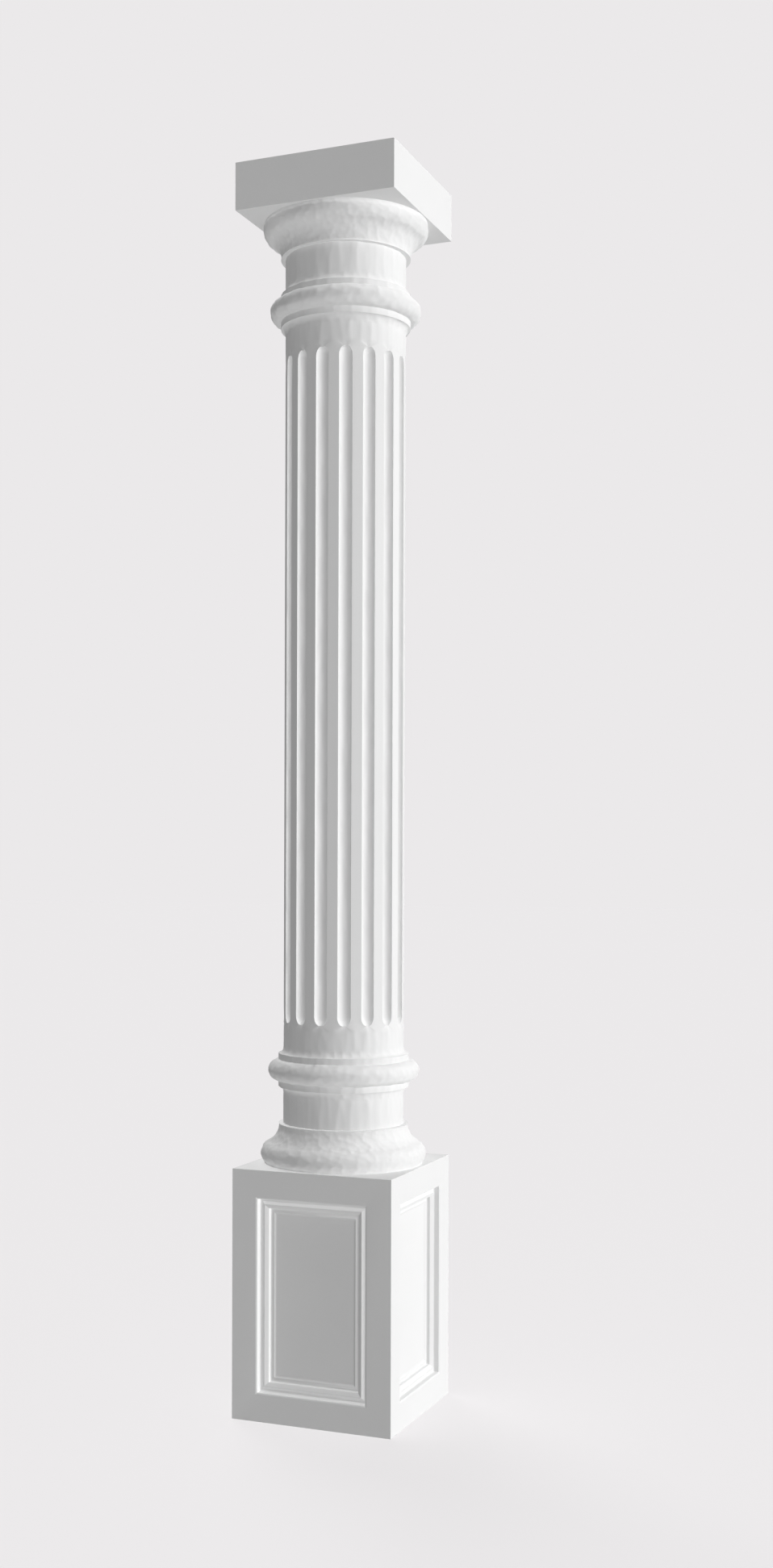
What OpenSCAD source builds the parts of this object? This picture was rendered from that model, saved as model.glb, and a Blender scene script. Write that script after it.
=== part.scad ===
// A fluted round column on a square panelled pedestal, under a square abacus.
// It stands on its underside: +Z is up, and the origin is the middle of the underside.

/* [Pedestal] */
// Side of the square pedestal
pedestal_w = 325; // [290:1:400]
// Height of the pedestal
pedestal_h = 479; // [380:1:600]
// Plain border left and right of each sunk panel
panel_side = 48; // [40:1:58]
// Plain border above and below each sunk panel
panel_end = 51; // [40:1:65]

/* [Panel moulding] */
// Width of the sloped moulding round a panel
mould_w = 36.5; // [33:0.5:44]
// Depth of the sunk field below the pedestal's face
mould_d = 24; // [20:0.5:30]
// Distance from the panel's edge to the wall of the large groove
groove_1_in = 4.1; // [3:0.1:6]
// Distance from the panel's edge to the crest behind the large groove
groove_1_out = 15.2; // [13:0.1:18]
// Depth of the large groove's wall
groove_1_wall = 8.3; // [6:0.1:10]
// Radius in the bottom of the large groove
groove_1_r = 3.5; // [2.5:0.1:4]
// Distance from the panel's edge to the wall of the small groove
groove_2_in = 22.8; // [20:0.1:25]
// Distance from the panel's edge to the crest behind the small groove
groove_2_out = 30.9; // [29:0.1:32]
// Depth of the small groove's wall
groove_2_wall = 4.2; // [3:0.1:6]
// Radius in the bottom of the small groove
groove_2_r = 2.8; // [2:0.1:3.5]

/* [Base and capital] */
// Height of the round base
base_h = 77; // [70:1:95]
// Height of the round capital
capital_h = 68; // [62:1:85]
// Greatest diameter of the bulge on the base and the capital
bulge_d = 325; // [300:1:340]
// Radius of that bulge
bulge_r = 25; // [20:0.5:30]
// Height of the bulge's middle above the pedestal
base_bulge = 18.5; // [12:0.5:24]
// Depth of the bulge's middle below the abacus
capital_bulge = 11; // [6:0.5:20]
// Diameter of the thin lip where the base and the capital meet the shaft
lip_d = 254; // [246:1:270]

/* [Shaft] */
// Diameter of the plain shaft
shaft_d = 236; // [200:1:242]
// Length of the shaft between the base and the capital
shaft_h = 1688; // [1400:1:2100]
// Distance from each end of the shaft to the middle of its ring
ring_inset = 104; // [90:1:200]
// Radius of the half-round bead of each ring
bead_r = 21; // [14:0.5:26]
// Diameter of the flat bands above and below a bead
band_d = 255; // [246:1:290]
// Height of each flat band
band_h = 12; // [8:0.5:16]
// Height of the hollow that leads from a band back to the shaft
cove_h = 16; // [8:0.5:24]

/* [Flutes] */
// Number of flutes round the shaft
flute_n = 16; // [12:1:20]
// Width of a flute on the surface of the shaft
flute_w = 25; // [16:0.5:28]
// Distance from the middle of a ring to the tip of the flutes
flute_inset = 93.5; // [70:0.5:160]
// Length of the rounded run-out at each end of a flute
flute_end = 16.5; // [10:0.5:26]

/* [Abacus] */
// Side of the square slab on top
abacus_w = 325; // [290:1:400]
// Thickness of the slab
abacus_h = 92; // [70:1:120]

/* [Hidden] */
$fn = 96;
stone = [0.93, 0.93, 0.92];

// Levels, from the ground up
base_z = pedestal_h;
shaft_z = base_z + base_h;
capital_z = shaft_z + shaft_h;
abacus_z = capital_z + capital_h;

// Slope of the panel moulding, and how far cuts reach past a face
mould_slope = atan2(mould_d, mould_w);
past = 5;
// Slope of each groove's bottom where its ramp begins, in degrees
groove_1_turn = 28;
groove_2_turn = 2;
arc_steps = 12;
groove_steps = 5;
flute_steps = 6;

// Points on an arc round c, from angle a to angle b
function arc(c, r, a, b, n = arc_steps) =
    [for (i = [0:n]) c + r * [cos(a + (b - a) * i / n), sin(a + (b - a) * i / n)]];

// ---- pedestal ----

// Depth of the plain slope at a distance from the panel's edge
function slope_d(w) = w * tan(mould_slope);

// One groove of the moulding, as [distance, depth] points: a straight wall, a round bottom
// and a slightly hollow ramp up to the crest
function groove(w_in, w_out, wall, r, turn) =
    let (c = [w_in + r, slope_d(w_in) + wall],
         bottom = arc(c, r, 180, 90 - turn, groove_steps),
         foot = bottom[groove_steps],
         crest = [w_out, slope_d(w_out)],
         chord = crest - foot,
         bend = atan2(-chord[1], chord[0]) - turn,
         ramp_r = norm(chord) / (2 * sin(bend)),
         ramp_c = foot - ramp_r * [sin(turn), cos(turn)])
    concat([[w_in, slope_d(w_in)]], bottom,
           arc(ramp_c, ramp_r, 90 - turn, 90 - turn - 2 * bend, groove_steps));

// Section of the space that one side of the moulding leaves, as [distance, depth]
function moulding() = concat(
    [[0, -past], [0, 0]],
    groove(groove_1_in, groove_1_out, groove_1_wall, groove_1_r, groove_1_turn),
    groove(groove_2_in, groove_2_out, groove_2_wall, groove_2_r, groove_2_turn),
    [[mould_w, mould_d], [mould_w, -past]]);

// The space of one side: its section run along X, mitred at both ends.
// The panel's edge is at Z = 0, the space rises from it, and depth runs along +Y.
module mitred_side(length) {
    intersection() {
        translate([-length / 2, 0, 0])
            rotate([90, 0, 90])
                linear_extrude(length)
                    polygon([for (p = moulding()) [p[1], p[0]]]);
        translate([0, -past - 1, 0])
            rotate([-90, 0, 0])
                linear_extrude(mould_d + 4 * past)
                    polygon([[-length / 2, 0], [length / 2, 0],
                             [length / 2 - mould_w, -mould_w], [mould_w - length / 2, -mould_w]]);
    }
}

// The space of a whole sunk panel, centred on X, with its outer plane at Y = 0
module panel(w, h) {
    for (side = [0, 1])
        rotate([0, 180 * side, 0]) {
            translate([0, 0, -h / 2]) mitred_side(w);
            rotate([0, 90, 0]) translate([0, 0, -w / 2]) mitred_side(h);
        }
    translate([mould_w - w / 2, -past, mould_w - h / 2])
        cube([w - 2 * mould_w, mould_d + past, h - 2 * mould_w]);
}

module pedestal() {
    color(stone)
        difference() {
            translate([-pedestal_w / 2, -pedestal_w / 2, 0])
                cube([pedestal_w, pedestal_w, pedestal_h]);
            for (face = [0:3])
                rotate([0, 0, 90 * face])
                    translate([0, -pedestal_w / 2, pedestal_h / 2])
                        panel(pedestal_w - 2 * panel_side, pedestal_h - 2 * panel_end);
        }
}

// ---- base and capital ----

// Half outline of a bulge that sweeps in to a thin lip, standing on Z = 0
function bulge_outline(h, bulge_z) =
    let (c = [bulge_d / 2 - bulge_r, bulge_z],
         in = lip_d / 2 - c[0],
         up = h - bulge_z,
         sweep_r = (in * in + up * up - bulge_r * bulge_r) / (2 * (bulge_r - in)),
         sweep_c = [lip_d / 2 + sweep_r, h],
         meet = atan2(up, sweep_c[0] - c[0]))
    concat([[0, 0]],
           arc(c, bulge_r, -asin(bulge_z / bulge_r), meet),
           arc(sweep_c, sweep_r, 180 + meet, 180),
           [[0, h]]);

module base() {
    color(stone)
        translate([0, 0, base_z])
            rotate_extrude()
                polygon(bulge_outline(base_h, base_bulge));
}

module capital() {
    color(stone)
        translate([0, 0, abacus_z])
            mirror([0, 0, 1])
                rotate_extrude()
                    polygon(bulge_outline(capital_h, capital_bulge));
}

// ---- shaft ----

// Half outline of a ring, from the hollow under it to the hollow above it, with its middle at z.
// The hollows are quarter ellipses that leave the bands flat and run out along the shaft.
function hollow(z, way) =
    [for (i = [0:arc_steps])
        let (a = 90 * i / arc_steps,
             flat = bead_r + band_h)
        [band_d / 2 - (band_d - shaft_d) / 2 * sin(a), z + way * (flat + cove_h * (1 - cos(a)))]];

function reversed(points) = [for (i = [len(points) - 1:-1:0]) points[i]];

function ring_outline(z) = concat(
    reversed(hollow(z, -1)),
    arc([band_d / 2, z], bead_r, -90, 90, 2 * arc_steps),
    hollow(z, 1));

function shaft_outline() = concat(
    [[0, 0], [shaft_d / 2, 0]],
    ring_outline(ring_inset),
    ring_outline(shaft_h - ring_inset),
    [[shaft_d / 2, shaft_h], [0, shaft_h]]);

// Half outline of a flute's cutter: a round bar with a half-ellipse run-out at each end
function flute_outline(r, low, high) = concat(
    [for (i = [0:flute_steps])
        [r * sin(90 * i / flute_steps), low + flute_end * (1 - cos(90 * i / flute_steps))]],
    [for (i = [flute_steps:-1:0])
        [r * sin(90 * i / flute_steps), high - flute_end * (1 - cos(90 * i / flute_steps))]]);

// The cutter of one flute, along +X of the shaft, with its middle on the chord across the flute
module flute() {
    r = flute_w / 2;
    tip = ring_inset + flute_inset;
    translate([sqrt(shaft_d * shaft_d / 4 - r * r), 0, 0])
        rotate_extrude($fn = 32)
            polygon(flute_outline(r, tip, shaft_h - tip));
}

module shaft() {
    color(stone)
        translate([0, 0, shaft_z])
            difference() {
                rotate_extrude() polygon(shaft_outline());
                for (i = [0:flute_n - 1])
                    rotate([0, 0, 360 * i / flute_n]) flute();
            }
}

// ---- abacus ----

module abacus() {
    color(stone)
        translate([-abacus_w / 2, -abacus_w / 2, abacus_z])
            cube([abacus_w, abacus_w, abacus_h]);
}

pedestal();
base();
shaft();
capital();
abacus();
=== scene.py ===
"""A fluted column of pale stone on a panelled pedestal, shown in a plain studio."""
import logging
import math
from collections.abc import Callable, Iterator
from contextlib import contextmanager
from dataclasses import dataclass
from enum import Enum

import bmesh
import bpy
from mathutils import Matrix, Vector


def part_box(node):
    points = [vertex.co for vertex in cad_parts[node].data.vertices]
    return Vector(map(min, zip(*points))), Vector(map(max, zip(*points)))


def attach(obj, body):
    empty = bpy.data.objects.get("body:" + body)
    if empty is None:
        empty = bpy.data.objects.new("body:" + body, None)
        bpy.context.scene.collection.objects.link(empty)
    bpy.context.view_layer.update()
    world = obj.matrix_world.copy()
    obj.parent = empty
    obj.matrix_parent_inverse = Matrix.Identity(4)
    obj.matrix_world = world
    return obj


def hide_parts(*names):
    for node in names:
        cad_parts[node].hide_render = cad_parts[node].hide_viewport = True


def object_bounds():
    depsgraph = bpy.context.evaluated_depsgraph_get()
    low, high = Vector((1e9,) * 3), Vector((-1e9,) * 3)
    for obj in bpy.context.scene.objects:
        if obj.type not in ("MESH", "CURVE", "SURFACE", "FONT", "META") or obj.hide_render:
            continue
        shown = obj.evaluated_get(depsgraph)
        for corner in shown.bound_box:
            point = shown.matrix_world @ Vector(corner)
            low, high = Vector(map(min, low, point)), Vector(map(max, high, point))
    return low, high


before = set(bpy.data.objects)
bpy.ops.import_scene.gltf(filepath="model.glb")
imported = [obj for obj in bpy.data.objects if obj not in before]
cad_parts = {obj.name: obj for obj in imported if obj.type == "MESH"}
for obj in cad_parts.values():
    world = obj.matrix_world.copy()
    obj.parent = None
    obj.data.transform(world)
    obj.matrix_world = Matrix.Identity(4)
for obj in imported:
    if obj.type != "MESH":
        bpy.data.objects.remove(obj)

CAD_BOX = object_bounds()
BODY = "root"
MM = 0.001
NEAR = MM / 100
SEAM = MM / 2
SHARP_CORNER = 40
SMOOTH_UP_TO = 45
LOG = logging.getLogger("column")

Point = tuple[float, float]


class Slot(Enum):
    """The record's material slots."""

    BLOCK = "pedestal_stone"
    MOULDED = "moulded_stone"
    SHAFT = "shaft_stone"


# ---- outlines ----


def arc(centre: Point, radius: float, start: float, stop: float, steps: int) -> list[Point]:
    """Points on an arc.

    Args:
        centre: The middle of the arc's circle.
        radius: The circle's radius.
        start: The angle of the first point, in degrees.
        stop: The angle of the last point, in degrees.
        steps: How many equal steps the arc is cut into.

    Returns:
        The points, both ends included.
    """
    angles = (math.radians(start + (stop - start) * i / steps) for i in range(steps + 1))
    return [(centre[0] + radius * math.cos(a), centre[1] + radius * math.sin(a)) for a in angles]


def in_steps(outline: list[Point], longest: float) -> list[Point]:
    """Cuts the long straight stretches of an outline into equal steps.

    Args:
        outline: The corners of the outline, in order.
        longest: The longest step that may stay.

    Returns:
        The same outline with more points.
    """
    points = [outline[0]]
    for (x0, y0), (x1, y1) in zip(outline, outline[1:]):
        count = max(1, math.ceil(math.hypot(x1 - x0, y1 - y0) / longest))
        points += [(x0 + (x1 - x0) * i / count, y0 + (y1 - y0) * i / count)
                   for i in range(1, count + 1)]
    return points


# ---- materials ----


class Value:
    """An output socket of a material's node, with arithmetic."""

    def __init__(self, sheet: "NodeSheet", socket: bpy.types.NodeSocket) -> None:
        """Wraps a socket.

        Args:
            sheet: The material that the socket belongs to.
            socket: The output socket.
        """
        self.sheet = sheet
        self.socket = socket

    def _math(self, operation: str, left: "Value | float", right: "Value | float") -> "Value":
        """Adds a Math node.

        Args:
            operation: The node's operation.
            left: The first term.
            right: The second term.

        Returns:
            The node's result.
        """
        return self.sheet.value("ShaderNodeMath", {"operation": operation}, {0: left, 1: right})

    def __add__(self, other: "Value | float") -> "Value":
        """This value plus another."""
        return self._math("ADD", self, other)

    def __radd__(self, other: float) -> "Value":
        """A number plus this value."""
        return self._math("ADD", other, self)

    def __sub__(self, other: "Value | float") -> "Value":
        """This value minus another."""
        return self._math("SUBTRACT", self, other)

    def __rsub__(self, other: float) -> "Value":
        """A number minus this value."""
        return self._math("SUBTRACT", other, self)

    def __mul__(self, other: "Value | float") -> "Value":
        """This value times another."""
        return self._math("MULTIPLY", self, other)

    def __rmul__(self, other: float) -> "Value":
        """A number times this value."""
        return self._math("MULTIPLY", other, self)


class NodeSheet:
    """The node tree of a material or of the world, emptied and ready to be written."""

    def __init__(self, owner: bpy.types.Material | bpy.types.World) -> None:
        """Empties the owner's node tree.

        Args:
            owner: The material or the world.
        """
        owner.use_nodes = True
        self.tree = owner.node_tree
        self.tree.nodes.clear()

    def node(self, kind: str, settings: dict[str, object],
             inputs: dict[int | str, object]) -> bpy.types.Node:
        """Adds a node.

        Args:
            kind: The node's type.
            settings: Properties of the node, which are set first.
            inputs: A number, a colour or a link for each named or numbered input.

        Returns:
            The node.
        """
        made = self.tree.nodes.new(kind)
        for key, setting in settings.items():
            setattr(made, key, setting)
        for key, given in inputs.items():
            if isinstance(given, Value):
                self.tree.links.new(given.socket, made.inputs[key])
            else:
                made.inputs[key].default_value = given
        return made

    def value(self, kind: str, settings: dict[str, object], inputs: dict[int | str, object],
              output: int | str = 0) -> Value:
        """Adds a node and takes one of its outputs.

        Args:
            kind: The node's type.
            settings: Properties of the node.
            inputs: A number, a colour or a link for each named or numbered input.
            output: The name or number of the output that is wanted.

        Returns:
            The wanted output.
        """
        return Value(self, self.node(kind, settings, inputs).outputs[output])

    def noise(self, place: Value, size: float, detail: int) -> Value:
        """A cloudy pattern from 0 to 1.

        Args:
            place: Where the pattern is read.
            size: The width of a cloud, in metres.
            detail: How many finer octaves it has.

        Returns:
            The pattern.
        """
        return self.value("ShaderNodeTexNoise", {},
                          {"Vector": place, "Scale": 1 / size, "Detail": detail})


@dataclass(frozen=True)
class Stone:
    """A matte pale stone, dressed more or less smooth."""

    name: str
    tone: float = 0.64
    drift: float = 0.012
    speck: float = 0.010
    drift_size: float = 120 * MM
    speck_size: float = 2.4 * MM
    grain_size: float = 1.6 * MM
    grain_depth: float = 0.04 * MM
    grain_strength: float = 0.6
    drawn_out: float = 1.0
    roughness: float = 0.66
    roughness_drift: float = 0.06
    shine: float = 0.06
    fine_detail: int = 3
    speck_detail: int = 2

    def material(self) -> bpy.types.Material:
        """Builds the material: slow drifts of tone, fine specks and a fine grain.

        Returns:
            The material.
        """
        made = bpy.data.materials.new(self.name)
        sheet = NodeSheet(made)
        place = sheet.value("ShaderNodeTexCoord", {}, {}, "Object")
        drawn = sheet.value("ShaderNodeMapping", {"vector_type": "POINT"},
                            {"Vector": place, "Scale": (1.0, 1.0, 1 / self.drawn_out)})
        cloud = sheet.noise(drawn, self.drift_size, self.fine_detail) - 0.5
        specks = sheet.noise(place, self.speck_size, self.speck_detail) - 0.5
        tone = self.tone + cloud * (2 * self.drift) + specks * (2 * self.speck)
        colour = sheet.value("ShaderNodeCombineColor", {},
                             {"Red": tone, "Green": tone, "Blue": tone})
        grain = sheet.noise(drawn, self.grain_size, self.fine_detail)
        bump = sheet.value("ShaderNodeBump", {},
                           {"Strength": self.grain_strength, "Distance": self.grain_depth,
                            "Height": grain})
        roughness = self.roughness + cloud * (2 * self.roughness_drift)
        shader = sheet.value("ShaderNodeBsdfPrincipled", {},
                             {"Base Color": colour, "Roughness": roughness, "Normal": bump,
                              "Specular IOR Level": self.shine})
        sheet.node("ShaderNodeOutputMaterial", {}, {"Surface": shader})
        return made


# ---- modelling ----


@dataclass(frozen=True)
class Tooling:
    """The nearly flat patches that a chisel leaves, worked into the mesh itself."""

    size: float
    depth: float
    drawn_out: float = 1.0
    seat: float = 0.6

    def cut(self, piece: "Piece", group: str) -> None:
        """Works the patches into a piece, inwards for the most part.

        Args:
            piece: The piece to work on.
            group: The name of the vertex group that they may reach.
        """
        texture = bpy.data.textures.new("patches", "VORONOI")
        texture.distance_metric = "DISTANCE_SQUARED"
        texture.noise_scale = self.size
        deselect_all()
        bpy.ops.object.empty_add(location=(0, 0, 0))
        stretch = bpy.context.object
        stretch.scale = (1.0, 1.0, self.drawn_out)
        bpy.context.view_layer.update()
        piece.finish("DISPLACE", texture=texture, texture_coords="OBJECT",
                     texture_coords_object=stretch, strength=self.depth, mid_level=self.seat,
                     vertex_group=group)
        bpy.data.objects.remove(stretch)
        bpy.data.textures.remove(texture)


def walk_round(mesh: bmesh.types.BMesh) -> list[bmesh.types.BMVert]:
    """Puts the points of the selected ring in order, along its edges.

    Args:
        mesh: The open mesh.

    Returns:
        The points, from +X round towards +Y.
    """
    ring = {v for v in mesh.verts if v.select}
    order = [min(ring, key=lambda v: abs(math.atan2(v.co.y, v.co.x)))]
    while len(order) < len(ring):
        beside = (e.other_vert(order[-1]) for e in order[-1].link_edges)
        ahead = [v for v in beside if v in ring and v not in order[-2:]]
        order.append(max(ahead, key=lambda v: v.co.y) if len(order) == 1 else ahead[0])
    return order


def deselect_all() -> None:
    """Leaves nothing selected, in object mode."""
    if bpy.context.mode != "OBJECT":
        bpy.ops.object.mode_set(mode="OBJECT")
    bpy.ops.object.select_all(action="DESELECT")


class Piece:
    """One mesh that is modelled by hand tools, in metres, in the column's own frame."""

    def __init__(self, name: str, add: Callable[[], object]) -> None:
        """Starts the piece from a primitive.

        Args:
            name: The piece's name.
            add: Adds the primitive.
        """
        deselect_all()
        add()
        self.obj = bpy.context.object
        self.obj.name = name
        self.obj.data.name = name

    @contextmanager
    def edit(self) -> Iterator[bmesh.types.BMesh]:
        """Opens the mesh in edit mode, with vertices as what is picked.

        Yields:
            The open mesh.
        """
        self.pick()
        bpy.ops.object.mode_set(mode="EDIT")
        bpy.ops.mesh.select_mode(type="VERT")
        yield bmesh.from_edit_mesh(self.obj.data)
        bpy.ops.object.mode_set(mode="OBJECT")

    def pick(self) -> None:
        """Selects this piece alone and makes it the active one."""
        deselect_all()
        self.obj.select_set(True)
        bpy.context.view_layer.objects.active = self.obj

    def place(self) -> None:
        """Sends the object's place and size into its mesh."""
        self.pick()
        bpy.ops.object.transform_apply(location=True, rotation=True, scale=True)

    def finish(self, kind: str, **settings: object) -> None:
        """Adds a modifier and applies it.

        Args:
            kind: The modifier's type.
            **settings: Its settings.
        """
        self.pick()
        bpy.ops.object.modifier_add(type=kind)
        modifier = self.obj.modifiers[-1]
        for key, setting in settings.items():
            setattr(modifier, key, setting)
        bpy.ops.object.modifier_apply(modifier=modifier.name)

    def soften(self, width: float, sharper_than: float) -> None:
        """Rounds the sharp edges.

        Args:
            width: The width of the rounding.
            sharper_than: The least angle of an edge that is rounded, in degrees.
        """
        self.finish("BEVEL", width=width, segments=2, limit_method="ANGLE",
                    angle_limit=math.radians(sharper_than), use_clamp_overlap=True)

    def smooth(self, up_to: float) -> None:
        """Shades the surface smooth across all but the sharpest edges.

        Args:
            up_to: The greatest angle that is shaded smooth, in degrees.
        """
        self.pick()
        bpy.ops.object.shade_smooth_by_angle(angle=math.radians(up_to))

    def tidy(self) -> None:
        """Merges double points and turns every face outwards."""
        with self.edit():
            bpy.ops.mesh.select_all(action="SELECT")
            bpy.ops.mesh.remove_doubles(threshold=NEAR / 10)
            bpy.ops.mesh.normals_make_consistent(inside=False)

    def group_by(self, name: str, weight: Callable[[Vector], float]) -> None:
        """Gathers points in a vertex group.

        Args:
            name: The group's name.
            weight: The weight of a point, from 0 to 1, at each place.
        """
        group = self.obj.vertex_groups.new(name=name)
        for vertex in self.obj.data.vertices:
            share = weight(vertex.co)
            if share > 0:
                group.add([vertex.index], share, "REPLACE")

    def hand_over(self, material: bpy.types.Material, slot: Slot, node: str) -> None:
        """Gives the piece its finish and puts it in the place of its CAD node.

        Args:
            material: The finish.
            slot: The record's slot for it; not used.
            node: The CAD node that it stands for.
        """
        self.obj.vertex_groups.clear()
        self.obj.data.materials.clear()
        self.obj.data.materials.append(material)
        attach(self.obj, BODY)
        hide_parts(node)
        LOG.info("%s: %d faces in place of %s", self.obj.name, len(self.obj.data.polygons), node)


class Turning(Piece):
    """A piece turned about the column's axis, made ring by ring from the bottom up."""

    def __init__(self, name: str, outline: list[Point], segments: int) -> None:
        """Turns an outline into a closed solid.

        Args:
            name: The piece's name.
            outline: Radius and height of each ring, from the bottom up.
            segments: How many points a ring has.
        """
        radius, level = outline[0]
        super().__init__(name, lambda: bpy.ops.mesh.primitive_circle_add(
            vertices=segments, radius=radius, fill_type="NOTHING", location=(0, 0, level)))
        self.place()
        self.radius = radius
        self.level = level
        self.segments = segments
        with self.edit():
            bpy.ops.mesh.select_all(action="SELECT")
            self.rise(outline[1:])

    def rise(self, outline: list[Point]) -> None:
        """Extrudes the selected ring along an outline.

        Args:
            outline: Radius and height of each further ring.
        """
        for radius, level in outline:
            bpy.ops.mesh.extrude_region_move(
                TRANSFORM_OT_translate={"value": (0, 0, level - self.level)})
            if radius != self.radius:
                factor = radius / self.radius
                bpy.ops.transform.resize(value=(factor, factor, 1),
                                         center_override=(0, 0, self.level))
            self.radius = radius
            self.level = level

    def close(self) -> None:
        """Fills the open rings at both ends."""
        with self.edit() as mesh:
            for edge in mesh.edges:
                edge.select_set(edge.is_boundary)
            bpy.ops.mesh.edge_face_add()
        self.tidy()


@dataclass
class Echinus:
    """A round moulding: a bulge that sweeps in to a thin lip."""

    bulge: float = 25 * MM
    lip: float = 127 * MM
    step: float = 2.5 * MM
    segments: int = 360
    smooth_up_to: float = 40
    tooling: tuple[Tooling, ...] = (
        Tooling(14 * MM, 1.8 * MM, drawn_out=0.7, seat=1.0),
        Tooling(7 * MM, 0.45 * MM, drawn_out=0.7, seat=1.0),
    )

    def outline(self, height: float, widest: float, bulge_level: float) -> list[Point]:
        """The half outline, standing on zero, from the foot to the lip.

        Args:
            height: The height of the moulding.
            widest: The greatest radius.
            bulge_level: The height of the bulge's middle.

        Returns:
            Radius and height of each point.
        """
        middle = (widest - self.bulge, bulge_level)
        inward = self.lip - middle[0]
        rise = height - bulge_level
        sweep = (inward ** 2 + rise ** 2 - self.bulge ** 2) / (2 * (self.bulge - inward))
        hollow = (self.lip + sweep, height)
        meet = math.degrees(math.atan2(rise, hollow[0] - middle[0]))
        foot = -math.degrees(math.asin(bulge_level / self.bulge))
        round_steps = round(math.radians(meet - foot) * self.bulge / self.step)
        sweep_steps = round(math.radians(meet) * sweep / self.step)
        return (arc(middle, self.bulge, foot, meet, round_steps)
                + arc(hollow, sweep, 180 + meet, 180, sweep_steps)[1:])

    def build(self, name: str, node: str, bulge_level: float, upside_down: bool,
              material: bpy.types.Material) -> None:
        """Models the moulding in the place of its CAD node.

        Args:
            name: The piece's name.
            node: The CAD node that it stands for.
            bulge_level: The distance from the wide end to the bulge's middle.
            upside_down: Whether the wide end is on top.
            material: The finish.
        """
        low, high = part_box(node)
        bottom, top = low[2], high[2]
        side = CAD_BOX[1][0]
        outline = self.outline(top - bottom, side, bulge_level)
        if upside_down:
            outline = [(radius, top - level) for radius, level in reversed(outline)]
        else:
            outline = [(radius, bottom + level) for radius, level in outline]
        piece = Turning(name, outline, self.segments)
        piece.close()
        piece.group_by("tooled", lambda at: float(bottom + SEAM < at.z < top - SEAM))
        for patches in self.tooling:
            patches.cut(piece, "tooled")
        piece.smooth(self.smooth_up_to)
        piece.hand_over(material, Slot.MOULDED, node)


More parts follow.
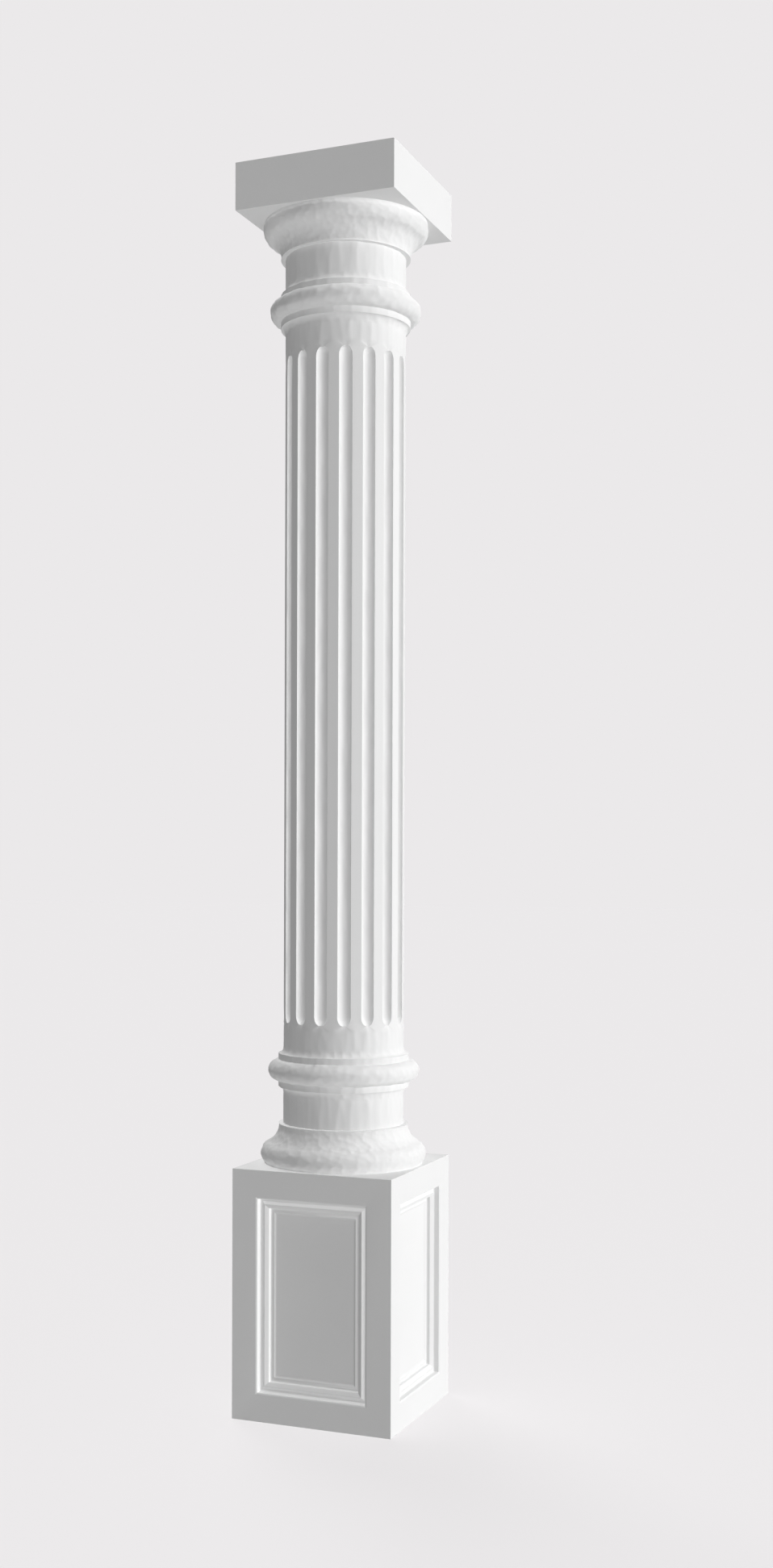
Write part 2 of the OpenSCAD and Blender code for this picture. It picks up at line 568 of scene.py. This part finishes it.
@dataclass
class Shaft:
    """The round shaft: a ring near each end, and flutes between the rings."""

    radius: float = 118 * MM
    ring_inset: float = 104 * MM
    bead: float = 21 * MM
    band: float = 127.5 * MM
    band_height: float = 12 * MM
    cove: float = 16 * MM
    flutes: int = 16
    flute_width: float = 25 * MM
    flute_end: float = 16.5 * MM
    flute_inset: float = 93.5 * MM
    row: float = 8.0 * MM
    bead_step: float = 3.0 * MM
    flute_steps: int = 12
    flat_steps: int = 4
    arris: float = 0.6 * MM
    arris_angle: float = 50
    turned_fade: float = 3.0 * MM
    wall_below: float = 1.5 * MM
    cove_steps: int = 6
    end_angles: tuple[float, ...] = (14, 23, 33, 44, 57, 72, 90)
    drum_tooling: tuple[Tooling, ...] = (
        Tooling(16 * MM, 1.9 * MM, drawn_out=5.0),
        Tooling(9 * MM, 0.3 * MM, drawn_out=4.0),
    )
    ring_tooling: tuple[Tooling, ...] = (
        Tooling(15 * MM, 2.4 * MM, seat=0.7),
        Tooling(8 * MM, 0.6 * MM, seat=0.7),
    )
    flute_tooling: tuple[Tooling, ...] = (
        Tooling(13 * MM, 1.5 * MM, drawn_out=4.0),
        Tooling(8 * MM, 0.4 * MM, drawn_out=2.0),
    )

    def lower_outline(self, bottom: float) -> list[Point]:
        """The half outline from the foot of the shaft to the tips of its flutes.

        Args:
            bottom: The level of the foot.

        Returns:
            Radius and height of each point.
        """
        middle = bottom + self.ring_inset
        edge = self.bead + self.band_height
        fall = self.band - self.radius
        angles = [math.radians(90 * i / self.cove_steps) for i in range(self.cove_steps + 1)]
        above = [(self.band - fall * math.sin(a), middle + edge + self.cove * (1 - math.cos(a)))
                 for a in angles]
        below = [(radius, 2 * middle - level) for radius, level in reversed(above)]
        bead_steps = round(math.pi * self.bead / self.bead_step)
        bead = arc((self.band, middle), self.bead, -90, 90, bead_steps)
        plain = [(self.radius, bottom)] + below + bead + above
        return in_steps(plain, self.row)

    def section(self, hollow: float) -> list[Point]:
        """The columns of one bay where a flute is cut with a given radius.

        Args:
            hollow: The radius of the hollow at this level.

        Returns:
            Radius and angle of each column, from the middle of the flute round to the next.
        """
        centre = math.sqrt(self.radius ** 2 - (self.flute_width / 2) ** 2)
        cosine = (centre ** 2 + hollow ** 2 - self.radius ** 2) / (2 * centre * hollow)
        reach = math.acos(max(-1.0, cosine))
        half = self.flute_steps // 2
        wall = []
        for i in range(half + 1):
            turn = reach * i / half
            across = hollow * math.sin(turn)
            out = centre - hollow * math.cos(turn)
            wall.append((math.hypot(out, across), math.atan2(across, out)))
        bay = math.tau / self.flutes
        edge = wall[-1][1]
        between = [edge + (bay - 2 * edge) * i / self.flat_steps for i in range(1, self.flat_steps)]
        flatness = (hollow / (self.flute_width / 2)) ** 4
        flat = []
        for angle in between:
            chord = self.radius * math.cos(bay / 2 - edge) / math.cos(bay / 2 - angle)
            flat.append((self.radius + (chord - self.radius) * flatness, angle))
        mirrored = [(radius, bay - angle) for radius, angle in reversed(wall[1:])]
        return wall + flat + mirrored

    def shape_ring(self, mesh: bmesh.types.BMesh, columns: list[Point]) -> None:
        """Moves the columns of the selected ring to their places in every bay.

        Args:
            mesh: The open mesh.
            columns: Radius and angle of each column of a bay.
        """
        ring = walk_round(mesh)
        count = len(columns)
        bay = math.tau / self.flutes
        for number, (radius, angle) in enumerate(columns):
            column = ring[number::count]
            for vertex in ring:
                vertex.select_set(False)
            for vertex in column:
                vertex.select_set(True)
            first = column[0].co
            factor = radius / math.hypot(first.x, first.y)
            turn = (angle - math.atan2(first.y, first.x) + bay / 2) % bay - bay / 2
            bpy.ops.transform.resize(value=(factor, factor, 1), center_override=(0, 0, 0))
            bpy.ops.transform.rotate(value=-turn, orient_axis="Z", center_override=(0, 0, 0))
        for vertex in ring:
            vertex.select_set(True)
        mesh.select_flush(True)

    def build(self, material: bpy.types.Material) -> None:
        """Models the lower half, mirrors it, and works the relief in.

        Args:
            material: The finish.
        """
        low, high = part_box("shaft")
        bottom, top = low[2], high[2]
        middle = (bottom + top) / 2
        columns = self.flute_steps + self.flat_steps
        outline = [(radius, level - middle) for radius, level in self.lower_outline(bottom)]
        tip = bottom + self.ring_inset + self.flute_inset - middle
        last = tip - self.row
        outline += in_steps([outline[-1], (self.radius, last)], self.row)[1:]
        piece = Turning("stone_shaft", outline, self.flutes * columns)
        with piece.edit() as mesh:
            for vertex in mesh.verts:
                vertex.select_set(abs(vertex.co.z - last) < NEAR)
            mesh.select_flush(True)
            for angle in map(math.radians, self.end_angles):
                level = tip + self.flute_end * (1 - math.cos(angle))
                piece.rise([(self.radius, level)])
                self.shape_ring(bmesh.from_edit_mesh(piece.obj.data),
                                self.section(self.flute_width / 2 * math.sin(angle)))
            rest = in_steps([(self.radius, piece.level), (self.radius, 0.0)], self.row)[1:]
            piece.rise(rest)
        piece.finish("MIRROR", use_axis=(False, False, True), use_mirror_merge=True,
                     merge_threshold=MM / 10)
        with piece.edit():
            bpy.ops.mesh.select_all(action="SELECT")
            bpy.ops.transform.translate(value=(0, 0, middle))
        piece.close()
        piece.soften(self.arris, self.arris_angle)
        half = middle - bottom
        fluted = -tip - self.flute_end
        fade = 2 * self.flute_end
        ring = half - self.ring_inset
        hollow_end = self.bead + self.band_height + self.cove

        def along_flutes(at: Vector) -> float:
            """The share of the flutes' own tooling at a place."""
            return min(1.0, max(0.0, (fluted - abs(at.z - middle)) / fade + 0.5))

        def in_wall(at: Vector) -> float:
            """How far a place is in the wall of a flute, and not on the flats between them."""
            return along_flutes(at) * float(math.hypot(at.x, at.y) < self.radius - self.wall_below)

        def on_turned(at: Vector) -> float:
            """How far a place is on a bead or in a hollow of a ring."""
            away = abs(abs(at.z - middle) - ring)
            bead = (self.bead - away) / self.turned_fade
            hollow = min(away - self.bead - self.band_height, hollow_end - away) / self.turned_fade
            return min(1.0, max(0.0, bead, hollow))

        def on_drum(at: Vector) -> float:
            """How far a place is on the plain parts of the shaft or on a ring's flat bands."""
            inside = abs(at.z - middle) < half - SEAM
            return (1 - along_flutes(at)) * (1 - on_turned(at)) * float(inside)

        for group, weight, tooling in (("drum", on_drum, self.drum_tooling),
                                       ("turned", on_turned, self.ring_tooling),
                                       ("walls", in_wall, self.flute_tooling)):
            piece.group_by(group, weight)
            for patches in tooling:
                patches.cut(piece, group)
        piece.smooth(SMOOTH_UP_TO)
        piece.finish("WEIGHTED_NORMAL", keep_sharp=True)
        piece.hand_over(material, Slot.SHAFT, "shaft")


@dataclass
class Groove:
    """One groove of the panel moulding, cut into its slope."""

    start: float
    crest: float
    wall: float
    radius: float
    turn: float
    steps: int = 8

    def outline(self, slope: float) -> list[Point]:
        """A straight wall, a round bottom and a slightly hollow ramp up to the crest.

        Args:
            slope: The depth that the moulding gains for each unit of width.

        Returns:
            Distance from the panel's edge and depth of each point.
        """
        top = self.start * slope
        middle = (self.start + self.radius, top + self.wall)
        bottom = arc(middle, self.radius, 180, 90 - self.turn, self.steps)
        foot = bottom[-1]
        run = self.crest - foot[0]
        rise = foot[1] - self.crest * slope
        bend = math.degrees(math.atan2(rise, run)) - self.turn
        sweep = math.hypot(run, rise) / (2 * math.sin(math.radians(bend)))
        centre = (foot[0] - sweep * math.sin(math.radians(self.turn)),
                  foot[1] - sweep * math.cos(math.radians(self.turn)))
        ramp = arc(centre, sweep, 90 - self.turn, 90 - self.turn - 2 * bend, self.steps)
        return [(self.start, top)] + bottom + ramp[1:]


@dataclass
class Pedestal:
    """The square block under the column, with a moulded panel sunk in each face."""

    side_border: float = 48 * MM
    end_border: float = 51 * MM
    width: float = 36.5 * MM
    depth: float = 24 * MM
    arris: float = 0.8 * MM
    grooves: tuple[Groove, ...] = (
        Groove(4.1 * MM, 15.2 * MM, 8.3 * MM, 3.5 * MM, 28),
        Groove(22.8 * MM, 30.9 * MM, 4.2 * MM, 2.8 * MM, 2),
    )

    def moulding(self) -> list[Point]:
        """The section of the moulding, as distance from the panel's edge and depth.

        Returns:
            The points, from the panel's edge to its field.
        """
        slope = self.depth / self.width
        points = [(0.0, 0.0)]
        for groove in self.grooves:
            points += groove.outline(slope)
        return points + [(self.width, self.depth)]

    def sink_panel(self, mesh: bmesh.types.BMesh, outward: Vector) -> None:
        """Sinks the moulded panel into the block's face on one side.

        Args:
            mesh: The open mesh.
            outward: The direction that the face looks in.
        """
        reach = max(v.co.dot(outward) for v in mesh.verts)
        for face in mesh.faces:
            face.select_set(min(v.co.dot(outward) for v in face.verts) > reach - NEAR)
        bpy.ops.mesh.inset(thickness=self.side_border, depth=0)
        chosen = [f for f in mesh.faces if f.select]
        centre = chosen[0].calc_center_median()
        height = max(v.co.z for v in chosen[0].verts) - min(v.co.z for v in chosen[0].verts)
        wanted = height - 2 * (self.end_border - self.side_border)
        bpy.ops.transform.resize(value=(1, 1, wanted / height), center_override=centre)
        section = self.moulding()
        for (w0, d0), (w1, d1) in zip(section, section[1:]):
            bpy.ops.mesh.inset(thickness=w1 - w0, depth=d0 - d1)

    def build(self, material: bpy.types.Material) -> None:
        """Models the block.

        Args:
            material: The finish.
        """
        low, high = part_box("pedestal")
        piece = block("stone_pedestal", Vector(low), Vector(high))
        with piece.edit() as mesh:
            bpy.ops.mesh.select_mode(type="FACE")
            for outward in ((0, -1, 0), (1, 0, 0), (0, 1, 0), (-1, 0, 0)):
                self.sink_panel(mesh, Vector(outward))
        piece.tidy()
        dress_block(piece, self.arris)
        piece.hand_over(material, Slot.BLOCK, "pedestal")


@dataclass
class Abacus:
    """The plain square slab on top of the capital."""

    arris: float = 0.8 * MM

    def build(self, material: bpy.types.Material) -> None:
        """Models the slab.

        Args:
            material: The finish.
        """
        low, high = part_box("abacus")
        piece = block("stone_abacus", Vector(low), Vector(high))
        dress_block(piece, self.arris)
        piece.hand_over(material, Slot.BLOCK, "abacus")


def block(name: str, low: Vector, high: Vector) -> Piece:
    """A square block between two corners.

    Args:
        name: The piece's name.
        low: The lowest corner.
        high: The highest corner.

    Returns:
        The block.
    """
    size = high - low
    piece = Piece(name, lambda: bpy.ops.mesh.primitive_cube_add(
        size=1, location=(low + high) / 2, scale=size))
    piece.place()
    return piece


def dress_block(piece: Piece, arris: float) -> None:
    """Takes the sharpness off a block's edges and keeps its faces flat.

    Args:
        piece: The block.
        arris: The width of the rounding.
    """
    piece.soften(arris, SHARP_CORNER)
    piece.smooth(SMOOTH_UP_TO)
    piece.finish("WEIGHTED_NORMAL", keep_sharp=True)


# ---- studio ----


@dataclass(frozen=True)
class Sun:
    """A soft, distant lamp that lights everything from one side, and casts a shadow only if told."""

    name: str
    bearing: float
    height: float
    strength: float
    softness: float = 30
    shadow: bool = False
    above: float = 4.0

    def hang(self, straight_on: float) -> None:
        """Adds the lamp.

        Args:
            straight_on: The bearing of the camera, from -Y towards +X, in degrees.
        """
        deselect_all()
        bpy.ops.object.light_add(type="SUN", location=(0, 0, self.above))
        lamp = bpy.context.object
        lamp.name = self.name
        lamp.data.energy = self.strength * math.pi
        lamp.data.angle = math.radians(self.softness)
        lamp.data.use_shadow = self.shadow
        lamp.rotation_euler = (math.radians(90 - self.height), 0,
                               math.radians(straight_on + self.bearing))


@dataclass
class Studio:
    """The camera, the lamps, the floor and the backdrop."""

    bearing: float = 22.786
    distance: float = 3.6239
    aside: float = -0.0325
    height: float = 1.0647
    roll: float = 0.166
    lens: float = 42.432
    shift: Point = (0.03757, 0.05008)
    backdrop: tuple[float, float, float] = (0.831, 0.815, 0.823)
    floor_tone: float = 0.49
    floor_share: float = 0.3
    floor_side: float = 80.0
    ambient: float = 0.061
    suns: tuple[Sun, ...] = (
        Sun("key", 60, 10, 0.561),
        Sun("side", 90, 10, 0.561),
        Sun("front", 0, 10, 0.232),
        Sun("top", 0, 90, 0.475),
        Sun("floor_shade", -160, 45, 0.305, shadow=True),
        Sun("below", 0, -90, 0.27),
    )

    def set_camera(self) -> None:
        """Adds the camera, level and facing the column from the front right."""
        turn = math.radians(self.bearing)
        towards = Vector((math.sin(turn), -math.cos(turn), 0))
        right = Vector((math.cos(turn), math.sin(turn), 0))
        place = towards * self.distance + right * self.aside + Vector((0, 0, self.height))
        deselect_all()
        bpy.ops.object.camera_add(location=place,
                                  rotation=(math.radians(90), -math.radians(self.roll), turn))
        camera = bpy.context.object
        camera.data.lens = self.lens
        camera.data.shift_x, camera.data.shift_y = self.shift
        bpy.context.scene.camera = camera

    def set_world(self) -> None:
        """Lights the room evenly, with a pale backdrop where the camera and mirrors look."""
        world = bpy.data.worlds.new("room")
        bpy.context.scene.world = world
        sheet = NodeSheet(world)
        seen = (sheet.value("ShaderNodeLightPath", {}, {}, "Is Camera Ray")
                + sheet.value("ShaderNodeLightPath", {}, {}, "Is Glossy Ray")
                + sheet.value("ShaderNodeLightPath", {}, {}, "Is Transmission Ray"))
        colour = sheet.value("ShaderNodeMix", {"data_type": "RGBA"},
                             {"Factor": seen, "A": (self.ambient,) * 3 + (1,), "B": self.backdrop + (1,)},
                             "Result")
        light = sheet.value("ShaderNodeBackground", {}, {"Color": colour, "Strength": 1.0})
        sheet.node("ShaderNodeOutputWorld", {}, {"Surface": light})

    def set_floor(self) -> None:
        """Lays a wide pale floor that takes the column's shadow."""
        floor = Piece("floor", lambda: bpy.ops.mesh.primitive_plane_add(size=self.floor_side))
        lit = self.ambient + sum(s.strength * max(0.0, math.sin(math.radians(s.height)))
                                 for s in self.suns)
        made = bpy.data.materials.new("floor")
        sheet = NodeSheet(made)
        seen = (sheet.value("ShaderNodeLightPath", {}, {}, "Is Camera Ray")
                + sheet.value("ShaderNodeLightPath", {}, {}, "Is Glossy Ray"))
        pale = tuple(self.floor_share * c / lit for c in self.backdrop) + (1,)
        colour = sheet.value("ShaderNodeMix", {"data_type": "RGBA"},
                             {"Factor": seen, "A": (self.floor_tone,) * 3 + (1,), "B": pale}, "Result")
        lit_part = sheet.value("ShaderNodeBsdfDiffuse", {}, {"Color": colour})
        even_part = sheet.value("ShaderNodeEmission", {},
                                {"Color": self.backdrop + (1,),
                                 "Strength": seen * (1 - self.floor_share)})
        shader = sheet.value("ShaderNodeAddShader", {}, {0: lit_part, 1: even_part})
        sheet.node("ShaderNodeOutputMaterial", {}, {"Surface": shader})
        floor.obj.data.materials.append(made)

    def build(self) -> None:
        """Sets up the whole studio."""
        self.set_camera()
        self.set_world()
        self.set_floor()
        for sun in self.suns:
            sun.hang(self.bearing)
        bpy.context.scene.view_settings.view_transform = "Standard"


def main() -> None:
    """Builds the studio and every piece of the column."""
    logging.basicConfig(level=logging.INFO, format="%(name)s: %(message)s")
    Studio().build()
    smooth = Stone("stone_smooth")
    tooled = Stone("stone_tooled", grain_depth=0.06 * MM)
    drawn = Stone("stone_drawn", grain_depth=0.06 * MM, drawn_out=6.0)
    block_stone = smooth.material()
    moulded_stone = tooled.material()
    Pedestal().build(block_stone)
    Echinus().build("stone_base", "base", 18.5 * MM, False, moulded_stone)
    Shaft().build(drawn.material())
    Echinus().build("stone_capital", "capital", 11 * MM, True, moulded_stone)
    Abacus().build(block_stone)


if __name__ == "__main__":
    main()
